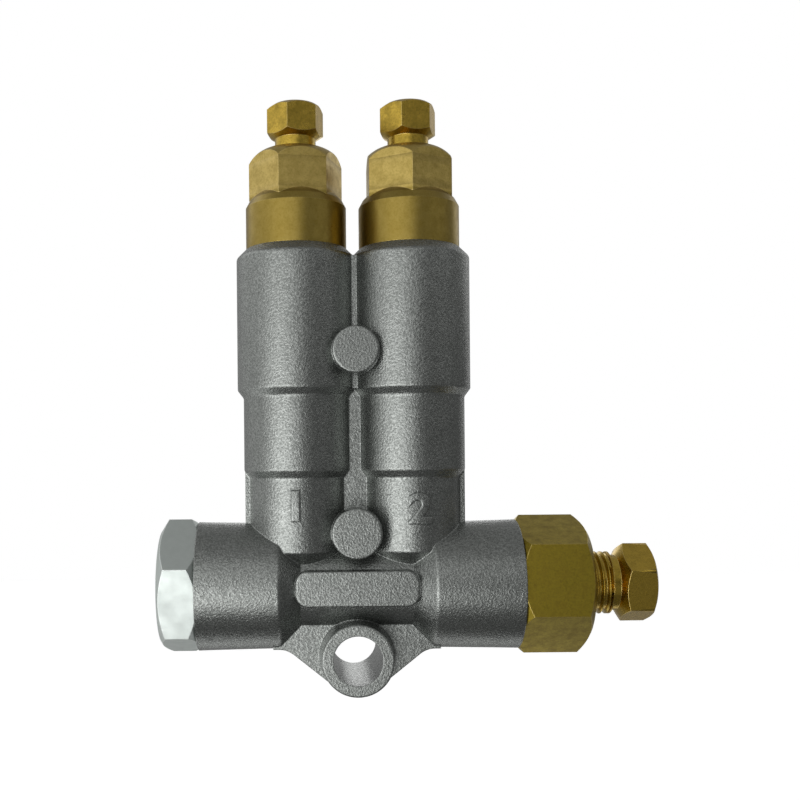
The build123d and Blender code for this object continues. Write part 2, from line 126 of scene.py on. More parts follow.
class CastingSettings(bpy.types.PropertyGroup):
    """Looks of the cast body"""

    colour: bpy.props.FloatVectorProperty(
        name="Colour", description="Colour of the blasted casting", subtype="COLOR",
        size=3, min=0, max=1, default=(0.33, 0.345, 0.33))
    dull_colour: bpy.props.FloatVectorProperty(
        name="Dull colour", description="Colour of the duller patches and pits", subtype="COLOR",
        size=3, min=0, max=1, default=(0.18, 0.19, 0.18))
    grain: bpy.props.FloatProperty(
        name="Grain", description="Size of the blasted grain", default=0.30 * MM, unit="LENGTH")
    grain_depth: bpy.props.FloatProperty(
        name="Grain depth", description="Depth of the blasted grain", default=0.08 * MM,
        unit="LENGTH")
    edge_round: bpy.props.FloatProperty(
        name="Edge round", description="Radius that the blasting leaves on edges",
        default=0.25 * MM, unit="LENGTH")


class BrassSettings(bpy.types.PropertyGroup):
    """Looks of the brass pieces"""

    turned_colour: bpy.props.FloatVectorProperty(
        name="Nipple colour", description="Colour of the metering nipples", subtype="COLOR",
        size=3, min=0, max=1, default=(0.52, 0.39, 0.12))
    union_colour: bpy.props.FloatVectorProperty(
        name="Union colour", description="Colour of the union screws", subtype="COLOR",
        size=3, min=0, max=1, default=(0.54, 0.37, 0.06))
    adapter_colour: bpy.props.FloatVectorProperty(
        name="Adapter colour", description="Colour of the inlet adapter", subtype="COLOR",
        size=3, min=0, max=1, default=(0.42, 0.32, 0.04))
    tarnish_colour: bpy.props.FloatVectorProperty(
        name="Tarnish colour", description="Colour of the tarnish on brass", subtype="COLOR",
        size=3, min=0, max=1, default=(0.20, 0.14, 0.02))
    edge_colour: bpy.props.FloatVectorProperty(
        name="Edge colour", description="Colour of worn edges", subtype="COLOR",
        size=3, min=0, max=1, default=(0.80, 0.64, 0.28))
    crown_height: bpy.props.FloatProperty(
        name="Crown height", description="Height of a nipple's turned crown",
        default=2.5 * MM, unit="LENGTH")
    flat_height: bpy.props.FloatProperty(
        name="Flat height", description="Height of a nipple's milled flats",
        default=4.8 * MM, unit="LENGTH")
    cove: bpy.props.FloatProperty(
        name="Cove", description="Height of the cove in which the flats run out",
        default=1.3 * MM, unit="LENGTH")
    cove_slope: bpy.props.FloatProperty(
        name="Cove slope", description="Half of the slope at the foot of the cove",
        default=0.16)
    tool_mark: bpy.props.FloatProperty(
        name="Tool mark", description="Distance between turning marks", default=0.12 * MM,
        unit="LENGTH")
    edge_round: bpy.props.FloatProperty(
        name="Edge round", description="Radius of a worn edge", default=0.12 * MM,
        unit="LENGTH")


class PlateSettings(bpy.types.PropertyGroup):
    """Looks of the zinc-plated plug"""

    colour: bpy.props.FloatVectorProperty(
        name="Colour", description="Colour of the zinc plate", subtype="COLOR",
        size=3, min=0, max=1, default=(0.58, 0.625, 0.60))
    cloud_colour: bpy.props.FloatVectorProperty(
        name="Cloud colour", description="Colour of the duller clouds", subtype="COLOR",
        size=3, min=0, max=1, default=(0.44, 0.475, 0.455))
    edge_round: bpy.props.FloatProperty(
        name="Edge round", description="Radius of the plug's edges", default=0.2 * MM,
        unit="LENGTH")


class NumeralSettings(bpy.types.PropertyGroup):
    """Raised station numerals on the columns"""

    height: bpy.props.FloatProperty(
        name="Height", description="Height of a numeral", default=4.9 * MM, unit="LENGTH")
    width_share: bpy.props.FloatProperty(
        name="Width share", description="Width of the letters against the font's own",
        default=1.12)
    draft: bpy.props.FloatProperty(
        name="Draft", description="Width of the sloping sides, in the font's own unit",
        default=0.05)
    first_shift: bpy.props.FloatVectorProperty(
        name="Shift of the one", description="How far the 1 stands across and up of its place",
        subtype="TRANSLATION", size=2, default=(-0.35 * MM, 0.0), unit="LENGTH")
    second_shift: bpy.props.FloatVectorProperty(
        name="Shift of the two", description="How far the 2 stands across and up of its place",
        subtype="TRANSLATION", size=2, default=(0.65 * MM, -0.5 * MM), unit="LENGTH")
    middle_height: bpy.props.FloatProperty(
        name="Middle height", description="Height of a numeral's middle above the gallery",
        default=12.9 * MM, unit="LENGTH")
    column_radius: bpy.props.FloatProperty(
        name="Column radius", description="Radius of the column that carries the numerals",
        default=7.75 * MM, unit="LENGTH")
    lift: bpy.props.FloatProperty(
        name="Lift", description="How far a numeral stands out", default=0.5 * MM,
        unit="LENGTH")
    sunk: bpy.props.FloatProperty(
        name="Sunk", description="How deep a numeral reaches into the column",
        default=0.15 * MM, unit="LENGTH")


class ThreadSettings(bpy.types.PropertyGroup):
    """Thread of the inlet union screw"""

    pitch: bpy.props.FloatProperty(
        name="Pitch", description="Distance between threads", default=1.0 * MM, unit="LENGTH")
    depth: bpy.props.FloatProperty(
        name="Depth", description="Depth of the thread", default=0.61 * MM, unit="LENGTH")
    length: bpy.props.FloatProperty(
        name="Length", description="Length of the threaded part", default=8.0 * MM,
        unit="LENGTH")
    steps: bpy.props.IntProperty(
        name="Steps", description="Steps in one turn", default=72, min=12)


class SpringSettings(bpy.types.PropertyGroup):
    """Return springs and check springs"""

    return_wire: bpy.props.FloatProperty(
        name="Return wire", description="Wire of a return spring", default=0.8 * MM,
        unit="LENGTH")
    check_wire: bpy.props.FloatProperty(
        name="Check wire", description="Wire of a check spring", default=0.5 * MM,
        unit="LENGTH")
    return_turns: bpy.props.IntProperty(
        name="Return turns", description="Open turns of a return spring", default=5, min=1)
    check_turns: bpy.props.IntProperty(
        name="Check turns", description="Open turns of a check spring", default=4, min=1)
    colour: bpy.props.FloatVectorProperty(
        name="Colour", description="Colour of the spring wire", subtype="COLOR",
        size=3, min=0, max=1, default=(0.45, 0.45, 0.47))


class StageSettings(bpy.types.PropertyGroup):
    """Camera, floor and lamps"""

    distance: bpy.props.FloatProperty(
        name="Camera distance", description="Camera to the plane of the columns",
        default=165 * MM, unit="LENGTH")
    camera_across: bpy.props.FloatProperty(
        name="Camera across", description="Place of the camera across the part",
        default=-6.8 * MM, unit="LENGTH")
    camera_rise: bpy.props.FloatProperty(
        name="Camera rise", description="Height of the camera above the gallery's axis",
        default=18.7 * MM, unit="LENGTH")
    roll: bpy.props.FloatProperty(
        name="Roll", description="Turn of the camera about its view", default=radians(0.52),
        unit="ROTATION")
    lens: bpy.props.FloatProperty(
        name="Lens", description="Focal length in millimetres", default=46.4)
    shift: bpy.props.FloatVectorProperty(
        name="Shift", description="Shift of the picture, as a share of its width", size=2,
        default=(0.11, 0.085))
    floor_depth: bpy.props.FloatProperty(
        name="Floor depth", description="Height of the floor, which is below the part",
        default=-150 * MM, unit="LENGTH")
    ambient: bpy.props.FloatProperty(
        name="Ambient", description="Strength of the room's light on the part", default=0.3)
    floor_glow: bpy.props.FloatProperty(
        name="Floor glow", description="Light of the white floor itself", default=0.72)


# Meshes


def new_piece(name, bm, material, body, smooth_angle=None):
    """Make an object of a finished bmesh, and let it ride on a body."""
    bmesh.ops.remove_doubles(bm, verts=bm.verts, dist=WELD)
    bmesh.ops.recalc_face_normals(bm, faces=bm.faces)
    mesh = bpy.data.meshes.new(name)
    bm.to_mesh(mesh)
    bm.free()
    piece = bpy.data.objects.new(name, mesh)
    bpy.context.scene.collection.objects.link(piece)
    mesh.materials.append(material)
    if smooth_angle is not None:
        mesh.shade_smooth()
        mesh.set_sharp_from_angle(angle=smooth_angle)
    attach(piece, body)
    return piece


def wind_spring(low, high, axis, mean_radius, wire, open_turns):
    """Wind a spring with a closed turn at each end between two heights."""
    steps = 24
    sides_of_wire = 10
    closed_pitch = 1.02
    bm = bmesh.new()
    start = Vector((axis.x + mean_radius, axis.y, low + wire / 2))
    bmesh.ops.create_circle(
        bm, cap_ends=True, segments=sides_of_wire, radius=wire / 2,
        matrix=Matrix.Translation(start) @ Matrix.Rotation(pi / 2, 4, "X"))
    first_face = next(iter(bm.faces))
    closed_rise = wire * closed_pitch
    open_rise = (high - low - wire - 2 * closed_rise) / open_turns
    geometry = list(first_face.edges) + list(first_face.verts) + [first_face]
    for turns, rise in ((1, closed_rise), (open_turns, open_rise), (1, closed_rise)):
        made = bmesh.ops.spin(
            bm, geom=geometry, cent=axis, axis=(0, 0, 1),
            dvec=(0, 0, rise / steps), angle=2 * pi * turns, steps=steps * turns,
            use_merge=False, use_duplicate=False)
        geometry = made["geom_last"]
    return bm


def seat_spring(name, node, bm, material):
    """Put a wound spring in place of its CAD node."""
    piece = new_piece(name, bm, material, "housing", radians(50))
    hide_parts(node)
    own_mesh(piece)


def only(items, kind):
    """The vertices, edges or faces among what an operator gives back."""
    return [item for item in items if isinstance(item, kind)]


def cut(bm, geometry, place, normal, clear_outer=False):
    """Cut some geometry by a plane, and give the cut edges back."""
    made = bmesh.ops.bisect_plane(
        bm, geom=geometry, dist=CUT_REACH, plane_co=place, plane_no=normal,
        clear_outer=clear_outer)
    return only(made["geom_cut"], bmesh.types.BMEdge)


def whole(bm):
    """All the geometry of a mesh."""
    return list(bm.verts) + list(bm.edges) + list(bm.faces)


def raised_text(context, words, sizes):
    """Text with sloping sides as a mesh, in the font's own unit."""
    curve_steps, straight_share, widening, font_weld = 6, 0.4, 0.1, 1e-5
    text = bpy.data.curves.new("numeral_text", "FONT")
    text.body = words
    text.align_x = "CENTER"
    text.align_y = "CENTER"
    text.resolution_u = curve_steps
    text.extrude = straight_share * sizes.draft
    text.bevel_depth = sizes.draft
    text.offset = widening * sizes.draft
    holder = bpy.data.objects.new("numeral_text", text)
    context.scene.collection.objects.link(holder)
    context.view_layer.update()
    flat = bpy.data.meshes.new_from_object(holder)
    bpy.data.objects.remove(holder)
    bm = bmesh.new()
    bm.from_mesh(flat)
    bmesh.ops.remove_doubles(bm, verts=bm.verts, dist=font_weld)
    return bm


def spin_thread(bm, sizes, start, axis, outer_radius):
    """Spin a thread, too long at both ends, and give the faces that were there before."""
    crest, root, weld = 0.06 * sizes.pitch, 0.16 * sizes.pitch, 0.01 * MM
    profile = []
    turns = round(sizes.length / sizes.pitch)
    for turn in range(-2, turns + 1):
        foot = start + turn * sizes.pitch
        for along, depth in (
            (0, 0), (crest, 0), (0.5 * sizes.pitch - root, sizes.depth),
            (0.5 * sizes.pitch + root, sizes.depth), (sizes.pitch - crest, 0),
        ):
            profile.append(bm.verts.new((foot + along, axis.y, axis.z + outer_radius - depth)))
    lines = [bm.edges.new(pair) for pair in zip(profile, profile[1:])]
    before = set(bm.faces)
    bmesh.ops.spin(
        bm, geom=profile + lines, cent=axis, axis=(1, 0, 0), angle=2 * pi,
        dvec=(sizes.pitch / sizes.steps, 0, 0), steps=sizes.steps,
        use_merge=False, use_duplicate=False)
    faces = [f for f in bm.faces if f not in before]
    verts = list({v for f in faces for v in f.verts})
    bmesh.ops.remove_doubles(bm, verts=verts, dist=weld)
    return before


# Materials


def add_node(tree, kind, inputs=None, **settings):
    """Add a node, set its own options, and set or link its inputs."""
    made = tree.nodes.new(kind)
    for key, value in settings.items():
        setattr(made, key, value)
    for key, value in (inputs or {}).items():
        if isinstance(value, bpy.types.NodeSocket):
            tree.links.new(value, made.inputs[key])
        else:
            made.inputs[key].default_value = value
    return made


def reckon(tree, operation, first, second):
    """Work out one value of two others."""
    made = add_node(tree, "ShaderNodeMath", {0: first, 1: second}, operation=operation)
    return made.outputs[0]


def start_material(name, metallic, roughness):
    """Make a material and give back its tree, its shader and its coordinates."""
    material = bpy.data.materials.new(name)
    material.use_nodes = True
    tree = material.node_tree
    shader = tree.nodes["Principled BSDF"]
    shader.inputs["Metallic"].default_value = metallic
    shader.inputs["Roughness"].default_value = roughness
    place = add_node(tree, "ShaderNodeTexCoord").outputs["Object"]
    return material, tree, shader, place


def opaque(colour):
    """A colour with full opacity."""
    return (*colour, 1.0)


def noise(tree, place, size, detail=2.0, stretch=None, roughness=0.5):
    """Noise of a feature size, stretched along the axes where that is asked."""
    if stretch:
        place = add_node(
            tree, "ShaderNodeMapping", {"Vector": place, "Scale": stretch}).outputs[0]
    made = add_node(
        tree, "ShaderNodeTexNoise",
        {"Vector": place, "Scale": 1 / size, "Detail": detail, "Roughness": roughness})
    return made.outputs[0]


def ramp(tree, value, low, high, to_low=0.0, to_high=1.0):
    """Map a value from one span to another, and keep it inside."""
    made = add_node(
        tree, "ShaderNodeMapRange",
        {"Value": value, "From Min": low, "From Max": high, "To Min": to_low,
         "To Max": to_high})
    return made.outputs["Result"]


def blend_colours(tree, share, first, second):
    """Mix two colours by a share."""
    factor, colour_a, colour_b, result = 0, 6, 7, 2
    made = add_node(
        tree, "ShaderNodeMix", data_type="RGBA",
        inputs={factor: share, colour_a: first, colour_b: second})
    return made.outputs[result]


def worn_edge(tree, radius):
    """Give a rounded normal, and a share that is one on a sharp edge."""
    flat_at, edge_at = 0.995, 0.90
    rounded = add_node(tree, "ShaderNodeBevel", {"Radius": radius}, samples=6).outputs[0]
    flat = add_node(tree, "ShaderNodeNewGeometry").outputs["Normal"]
    alike = add_node(
        tree, "ShaderNodeVectorMath", {0: rounded, 1: flat}, operation="DOT_PRODUCT")
    return rounded, ramp(tree, alike.outputs["Value"], flat_at, edge_at)


def bumped(tree, height, depth, normal):
    """Tilt a normal by a height of some depth."""
    return add_node(
        tree, "ShaderNodeBump",
        {"Height": height, "Distance": depth, "Strength": 1.0, "Normal": normal}).outputs[0]


def cast_material():
    """Blasted aluminium casting: fine sparkling grain, duller pits and bright edges."""
    looks = bpy.context.scene.casting
    patch_size, patch_share = 3.5 * MM, 0.25
    edge_colour, edge_share = (0.50, 0.51, 0.50), 0.25
    rough_pits, smooth_tops = 0.32, 0.20
    material, tree, shader, place = start_material("blasted_casting", 0.9, 0.30)
    grain = noise(tree, place, looks.grain, detail=3, roughness=0.6)
    patches = noise(tree, place, patch_size, detail=4)
    rounded, edge = worn_edge(tree, looks.edge_round)
    colour = blend_colours(
        tree, ramp(tree, grain, 0.38, 0.62), opaque(looks.dull_colour), opaque(looks.colour))
    colour = blend_colours(
        tree, ramp(tree, patches, 0.35, 0.7, 0.0, patch_share), colour,
        opaque(looks.dull_colour))
    colour = blend_colours(
        tree, ramp(tree, edge, 0.0, 1.0, 0.0, edge_share), colour, opaque(edge_colour))
    tree.links.new(colour, shader.inputs["Base Color"])
    tree.links.new(
        ramp(tree, grain, 0.3, 0.7, rough_pits, smooth_tops), shader.inputs["Roughness"])
    tree.links.new(
        bumped(tree, grain, looks.grain_depth, rounded), shader.inputs["Normal"])
    return material


def tarnished_colour(tree, place, colour, tarnish):
    """Brass colour under tarnish in clouds and specks, and the clouds by themselves."""
    cloud_size, speck_size = 1.6 * MM, 0.30 * MM
    speck_share = 0.8
    dull = opaque(bpy.context.scene.brass.tarnish_colour)
    clouds = noise(tree, place, cloud_size, detail=5, roughness=0.7)
    specks = noise(tree, place, speck_size, detail=3, roughness=0.6)
    base = blend_colours(
        tree, ramp(tree, clouds, 0.40, 0.70, 0.0, tarnish), opaque(colour), dull)
    return clouds, blend_colours(
        tree, ramp(tree, specks, 0.46, 0.72, 0.0, speck_share * tarnish), base, dull)


def finish_brass(tree, shader, place, base, clouds, roughness, stretch, depth, height=None):
    """Worn edges, uneven gloss and tool marks of a brass piece."""
    looks = bpy.context.scene.brass
    edge_share = 0.7
    smoother, rougher = 0.05, 0.1
    rounded, edge = worn_edge(tree, looks.edge_round)
    base = blend_colours(
        tree, ramp(tree, edge, 0.0, 1.0, 0.0, edge_share), base, opaque(looks.edge_colour))
    tree.links.new(base, shader.inputs["Base Color"])
    tree.links.new(
        ramp(tree, clouds, 0.3, 0.7, roughness - smoother, roughness + rougher),
        shader.inputs["Roughness"])
    if height is not None:
        rounded = bumped(tree, height, 1.0, rounded)
    lines = noise(tree, place, looks.tool_mark, detail=2, stretch=stretch)
    tree.links.new(bumped(tree, lines, depth, rounded), shader.inputs["Normal"])


def brass_material(name, colour, roughness, stretch, depth, tarnish):
    """Machined brass: tool marks along one way, tarnish in patches, bright worn edges."""
    material, tree, shader, place = start_material(name, 1.0, roughness)
    clouds, base = tarnished_colour(tree, place, colour, tarnish)
    finish_brass(tree, shader, place, base, clouds, roughness, stretch, depth)
    return material


def nipple_material(stretch, depth):
    """Nipple brass: pale milled flats that run out in a cove, over a darker collar."""
    looks = bpy.context.scene.brass
    tarnish = 0.45
    collar_top, collar_full, collar_share = 0.3 * MM, 0.6 * MM, 0.6
    material, tree, shader, place = start_material("nipple_brass", 1.0, 0.34)
    crown_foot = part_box("metering_nipple_1")[1].z - looks.crown_height
    flats_foot = crown_foot - looks.flat_height
    level = add_node(tree, "ShaderNodeSeparateXYZ", {0: place}).outputs["Z"]
    clouds, base = tarnished_colour(tree, place, looks.turned_colour, tarnish)
    collar = ramp(
        tree, level, flats_foot - collar_top, flats_foot - collar_full, 0.0, collar_share)
    base = blend_colours(tree, collar, base, opaque(looks.tarnish_colour))

    # Heights that bend the flats outwards at their foot and inwards under the crown
    cove = ramp(tree, level, flats_foot, flats_foot + looks.cove, 1.0, 0.0)
    shoulder = ramp(tree, level, crown_foot - looks.cove, crown_foot)
    step = reckon(
        tree, "SUBTRACT", reckon(tree, "POWER", cove, 2.0),
        reckon(tree, "POWER", shoulder, 2.0))
    height = reckon(tree, "MULTIPLY", step, looks.cove * looks.cove_slope)
    finish_brass(tree, shader, place, base, clouds, 0.32, stretch, depth, height)
    return material


def plate_material():
    """Zinc plate on a drawn hexagon: fine lines along it and a slight cloud."""
    looks = bpy.context.scene.plate
    line_size, line_depth, along_bar = 0.15 * MM, 0.004 * MM, (0.06, 1.0, 1.0)
    cloud_size, cloud_share = 2.5 * MM, 0.45
    edge_colour, edge_share = (0.9, 0.93, 0.92), 0.6
    material, tree, shader, place = start_material("zinc_plate", 1.0, 0.44)
    lines = noise(tree, place, line_size, detail=2, stretch=along_bar)
    cloud = noise(tree, place, cloud_size, detail=4)
    rounded, edge = worn_edge(tree, looks.edge_round)
    base = blend_colours(
        tree, ramp(tree, cloud, 0.35, 0.7, 0.0, cloud_share), opaque(looks.colour),
        opaque(looks.cloud_colour))
    base = blend_colours(
        tree, ramp(tree, edge, 0.0, 1.0, 0.0, edge_share), base, opaque(edge_colour))
    tree.links.new(base, shader.inputs["Base Color"])
    tree.links.new(ramp(tree, cloud, 0.3, 0.7, 0.38, 0.50), shader.inputs["Roughness"])
    tree.links.new(bumped(tree, lines, line_depth, rounded), shader.inputs["Normal"])
    return material


def steel_material(name, colour, roughness, stretch):
    """Ground or drawn steel with fine lines."""
    line_size, line_depth, line_shade = 0.1 * MM, 0.002 * MM, 0.8
    edge_round = 0.1 * MM
    material, tree, shader, place = start_material(name, 1.0, roughness)
    lines = noise(tree, place, line_size, detail=2, stretch=stretch)
    base = blend_colours(
        tree, ramp(tree, lines, 0.3, 0.7), opaque([line_shade * c for c in colour]),
        opaque(colour))
    tree.links.new(base, shader.inputs["Base Color"])
    rounded, _ = worn_edge(tree, edge_round)
    tree.links.new(bumped(tree, lines, line_depth, rounded), shader.inputs["Normal"])
    return material


def rubber_material(name, colour):
    """Matt moulded rubber with a fine bloom."""
    bloom_size, bloom_depth, bloom_light = 0.4 * MM, 0.004 * MM, 0.03
    edge_round = 0.1 * MM
    material, tree, shader, place = start_material(name, 0.0, 0.62)
    bloom = noise(tree, place, bloom_size, detail=3)
    base = blend_colours(
        tree, ramp(tree, bloom, 0.4, 0.75), opaque(colour),
        opaque([c + bloom_light for c in colour]))
    tree.links.new(base, shader.inputs["Base Color"])
    rounded, _ = worn_edge(tree, edge_round)
    tree.links.new(bumped(tree, bloom, bloom_depth, rounded), shader.inputs["Normal"])
    return material


def dress(nodes, material):
    """Give CAD nodes a material by their own slots."""
    for node in nodes:
        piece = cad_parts[node]
        if not piece.material_slots:
            piece.data.materials.append(material)
        for place in piece.material_slots:
            place.material = material


def of_stations(*names):
    """Names of the nodes that each station has."""
    return [f"{name}_{station}" for name in names for station in STATIONS]


def seen_or_mirrored(tree):
    """One for the camera's rays and for those that come by a mirror or through glass."""
    rays = add_node(tree, "ShaderNodeLightPath").outputs
    both = reckon(tree, "MAXIMUM", rays["Is Camera Ray"], rays["Is Glossy Ray"])
    return reckon(tree, "MAXIMUM", both, rays["Is Transmission Ray"])


def around(aim, azimuth, elevation, distance):
    """Place at a distance from the aim, and the turn that faces it."""
    side, rise = radians(azimuth), radians(elevation)
    way = Vector((sin(side) * cos(rise), -cos(side) * cos(rise), sin(rise)))
    return aim + way * distance, way.to_track_quat("Z", "Y")


def card(name, width, height, matrix, material):
    """Make a flat card of the stage."""
    bm = bmesh.new()
    bmesh.ops.create_grid(
        bm, x_segments=1, y_segments=1, size=0.5,
        matrix=matrix @ Matrix.Diagonal((width, height, 1, 1)))
    mesh = bpy.data.meshes.new(name)
    bm.to_mesh(mesh)
    bm.free()
    mesh.materials.append(material)
    made = bpy.data.objects.new(name, mesh)
    bpy.context.scene.collection.objects.link(made)
    return made


# Operators, one for each piece or group of like pieces


class DISTRIBUTOR_OT_casting(bpy.types.Operator):
    """Give the cast body its blasted finish"""

    bl_idname = "distributor.casting"
    bl_label = "Casting"

    def execute(self, context):
        dress(["manifold_body"], cast_material())
        return {"FINISHED"}


class DISTRIBUTOR_OT_numerals(bpy.types.Operator):
    """Raise the station numerals on the lower columns"""

    bl_idname = "distributor.numerals"
    bl_label = "Numerals"

    def execute(self, context):
        sizes = context.scene.numerals
        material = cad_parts["manifold_body"].material_slots[0].material
        thick = sizes.lift + sizes.sunk
        height = gallery_axis().z + sizes.middle_height
        for station, shift in zip(STATIONS, (sizes.first_shift, sizes.second_shift)):
            axis = station_axis(station)
            bm = raised_text(context, str(station), sizes)
            low = [min(v.co[i] for v in bm.verts) for i in range(3)]
            high = [max(v.co[i] for v in bm.verts) for i in range(3)]
            scale = sizes.height / (high[1] - low[1])
            centre = Vector([(a + b) / 2 for a, b in zip(low, high)])
            bmesh.ops.translate(bm, verts=bm.verts, vec=-centre)
            bmesh.ops.scale(
                bm, verts=bm.verts,
                vec=(scale * sizes.width_share, scale, thick / (high[2] - low[2])))

            # Cut in upright strips, so that the numeral can bend round the column
            reach = max(v.co.x for v in bm.verts)
            strips = 14
            for i in range(1, strips):
                cut(bm, whole(bm), (reach * (2 * i / strips - 1), 0, 0), (1, 0, 0))
            across, up = shift
            for v in bm.verts:
                radius = sizes.column_radius - sizes.sunk + v.co.z + thick / 2
                angle = (v.co.x + across) / sizes.column_radius
                v.co = (
                    axis.x + radius * sin(angle), axis.y - radius * cos(angle),
                    height + up + v.co.y)
            new_piece(f"numeral_{station}", bm, material, "housing",
                      radians(40))
        return {"FINISHED"}


class DISTRIBUTOR_OT_port_plug(bpy.types.Operator):
    """Give the gallery plug its zinc plate"""

    bl_idname = "distributor.port_plug"
    bl_label = "Port plug"

    def execute(self, context):
        dress(["gallery_plug"], plate_material())
        return {"FINISHED"}


class DISTRIBUTOR_OT_inlet_adapter(bpy.types.Operator):
    """Give the inlet adapter its drawn and tarnished brass"""

    bl_idname = "distributor.inlet_adapter"
    bl_label = "Inlet adapter"

    def execute(self, context):
        looks = context.scene.brass
        dress(["inlet_adapter"], brass_material(
            "adapter_brass", looks.adapter_colour, roughness=0.36, stretch=(0.05, 1.0, 1.0),
            depth=MARK_DEPTH, tarnish=0.75))
        return {"FINISHED"}


class DISTRIBUTOR_OT_inlet_union(bpy.types.Operator):
    """Cut a real thread on the inlet union screw"""

    bl_idname = "distributor.inlet_union"
    bl_label = "Inlet union"

    def execute(self, context):
        sizes = context.scene.thread
        looks = context.scene.brass
        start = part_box("inlet_union_screw")[0].x
        axis = gallery_axis()
        bm = bmesh.new()
        bm.from_mesh(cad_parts["inlet_union_screw"].data)
        bmesh.ops.remove_doubles(bm, verts=bm.verts, dist=WELD)

        # The plain shank is cut off just before the neck, and its bore is drawn out again
        run_in = 0.2 * MM
        neck = start + sizes.length - run_in
        edges = cut(bm, whole(bm), (neck, 0, 0), (-1, 0, 0), clear_outer=True)
        radii = {}
        for edge in edges:
            for v in edge.verts:
                radii[v] = (Vector((0, v.co.y, v.co.z)) - axis).length
        thread_radius = max(radii.values())
        bore_radius = min(radii.values())
        half = (thread_radius + bore_radius) / 2
        bore_edges = [e for e in edges if all(radii[v] < half for v in e.verts)]
        rim_edges = [e for e in edges if all(radii[v] > half for v in e.verts)]
        made = bmesh.ops.extrude_edge_only(bm, edges=bore_edges)["geom"]
        bore_verts = only(made, bmesh.types.BMVert)
        bmesh.ops.translate(bm, verts=bore_verts, vec=(start - bore_verts[0].co.x, 0, 0))
        bore_end = [
            e for e in only(made, bmesh.types.BMEdge) if set(e.verts) <= set(bore_verts)]

        # The thread takes the shank's place, and is cut to length and closed at both ends
        before = spin_thread(bm, sizes, start, axis, thread_radius)
        ends = []
        for place, way in ((start, -1), (neck, 1)):
            faces = [f for f in bm.faces if f not in before]
            geometry = list({g for f in faces for g in (*f.verts, *f.edges)}) + faces
            ends.append(cut(bm, geometry, (place, 0, 0), (way, 0, 0), clear_outer=True))
        bmesh.ops.bridge_loops(bm, edges=ends[0] + bore_end)
        bmesh.ops.bridge_loops(bm, edges=ends[1] + rim_edges)
        material = brass_material(
            "union_brass", looks.union_colour, roughness=0.24, stretch=(1.0, 0.05, 0.05),
            depth=MARK_DEPTH, tarnish=0.4)
        piece = new_piece("inlet_union_thread", bm, material, "inlet_screw",
                          radians(20))
        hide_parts("inlet_union_screw")
        return {"FINISHED"}


class DISTRIBUTOR_OT_metering_nipples(bpy.types.Operator):
    """Give the metering nipples their turned and tumbled brass"""

    bl_idname = "distributor.metering_nipples"
    bl_label = "Metering nipples"

    def execute(self, context):
        dress(of_stations("metering_nipple"), nipple_material(
            stretch=(0.08, 0.08, 1.0), depth=MARK_DEPTH))
        return {"FINISHED"}


class DISTRIBUTOR_OT_outlet_unions(bpy.types.Operator):
    """Give the outlet union screws their turned brass"""

    bl_idname = "distributor.outlet_unions"
    bl_label = "Outlet unions"

    def execute(self, context):
        looks = context.scene.brass
        dress(of_stations("outlet_union_screw"), brass_material(
            "outlet_brass", looks.union_colour, roughness=0.28, stretch=(1.0, 1.0, 0.06),
            depth=0.004 * MM, tarnish=0.7))
        return {"FINISHED"}


class DISTRIBUTOR_OT_inner_brass(bpy.types.Operator):
    """Finish the inserts, sleeves and retainers inside"""

    bl_idname = "distributor.inner_brass"
    bl_label = "Inner brass"

    def execute(self, context):
        looks = context.scene.brass
        names = of_stations("valve_insert", "check_retainer", "outlet_taper_sleeve")
        dress(names + ["inlet_taper_sleeve"], brass_material(
            "inner_brass", looks.turned_colour, roughness=0.28, stretch=(0.1, 0.1, 1.0),
            depth=MARK_DEPTH, tarnish=0.2))
        return {"FINISHED"}


class DISTRIBUTOR_OT_inner_steel(bpy.types.Operator):
    """Finish the metering pistons and the check balls"""

    bl_idname = "distributor.inner_steel"
    bl_label = "Inner steel"

    def execute(self, context):
        dress(of_stations("metering_piston"), steel_material(
            "ground_steel", colour=(0.55, 0.55, 0.56), roughness=0.22,
            stretch=(0.1, 0.1, 1.0)))
        dress(of_stations("check_ball"), steel_material(
            "ball_steel", colour=(0.78, 0.78, 0.80), roughness=0.08,
            stretch=(1.0, 1.0, 1.0)))
        return {"FINISHED"}


class DISTRIBUTOR_OT_rubber(bpy.types.Operator):
    """Finish the seals and the collar valves"""

    bl_idname = "distributor.rubber"
    bl_label = "Rubber"

    def execute(self, context):
        seals = of_stations("nipple_seal", "piston_seal")
        dress(seals + ["gallery_plug_seal", "inlet_adapter_seal"], rubber_material(
            "seal_rubber", colour=(0.03, 0.03, 0.03)))
        dress(of_stations("collar_valve"), rubber_material(
            "valve_rubber", colour=(0.05, 0.05, 0.05)))
        return {"FINISHED"}


class DISTRIBUTOR_OT_springs(bpy.types.Operator):
    """Wind the return springs and the check springs"""

    bl_idname = "distributor.springs"
    bl_label = "Springs"

    def execute(self, context):
        sizes = context.scene.springs
        material = steel_material(
            "spring_steel", sizes.colour, roughness=0.3, stretch=(1.0, 1.0, 0.2))
        for station in STATIONS:
            axis = station_axis(station)
            for kind, wire, turns, joint, travel in (
                ("return_spring", sizes.return_wire, sizes.return_turns,
                 f"piston_{station}_stroke", PISTON_STROKE),
                ("check_spring", sizes.check_wire, sizes.check_turns,
                 f"ball_{station}_lift", BALL_LIFT),
            ):
                node = f"{kind}_{station}"
                low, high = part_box(node)
                radius = (high.x - low.x - wire) / 2
                bm = wind_spring(low.z, high.z, axis, radius, wire, turns)
                seat_spring(
                    f"wound_{node}", node, bm, material)
        return {"FINISHED"}


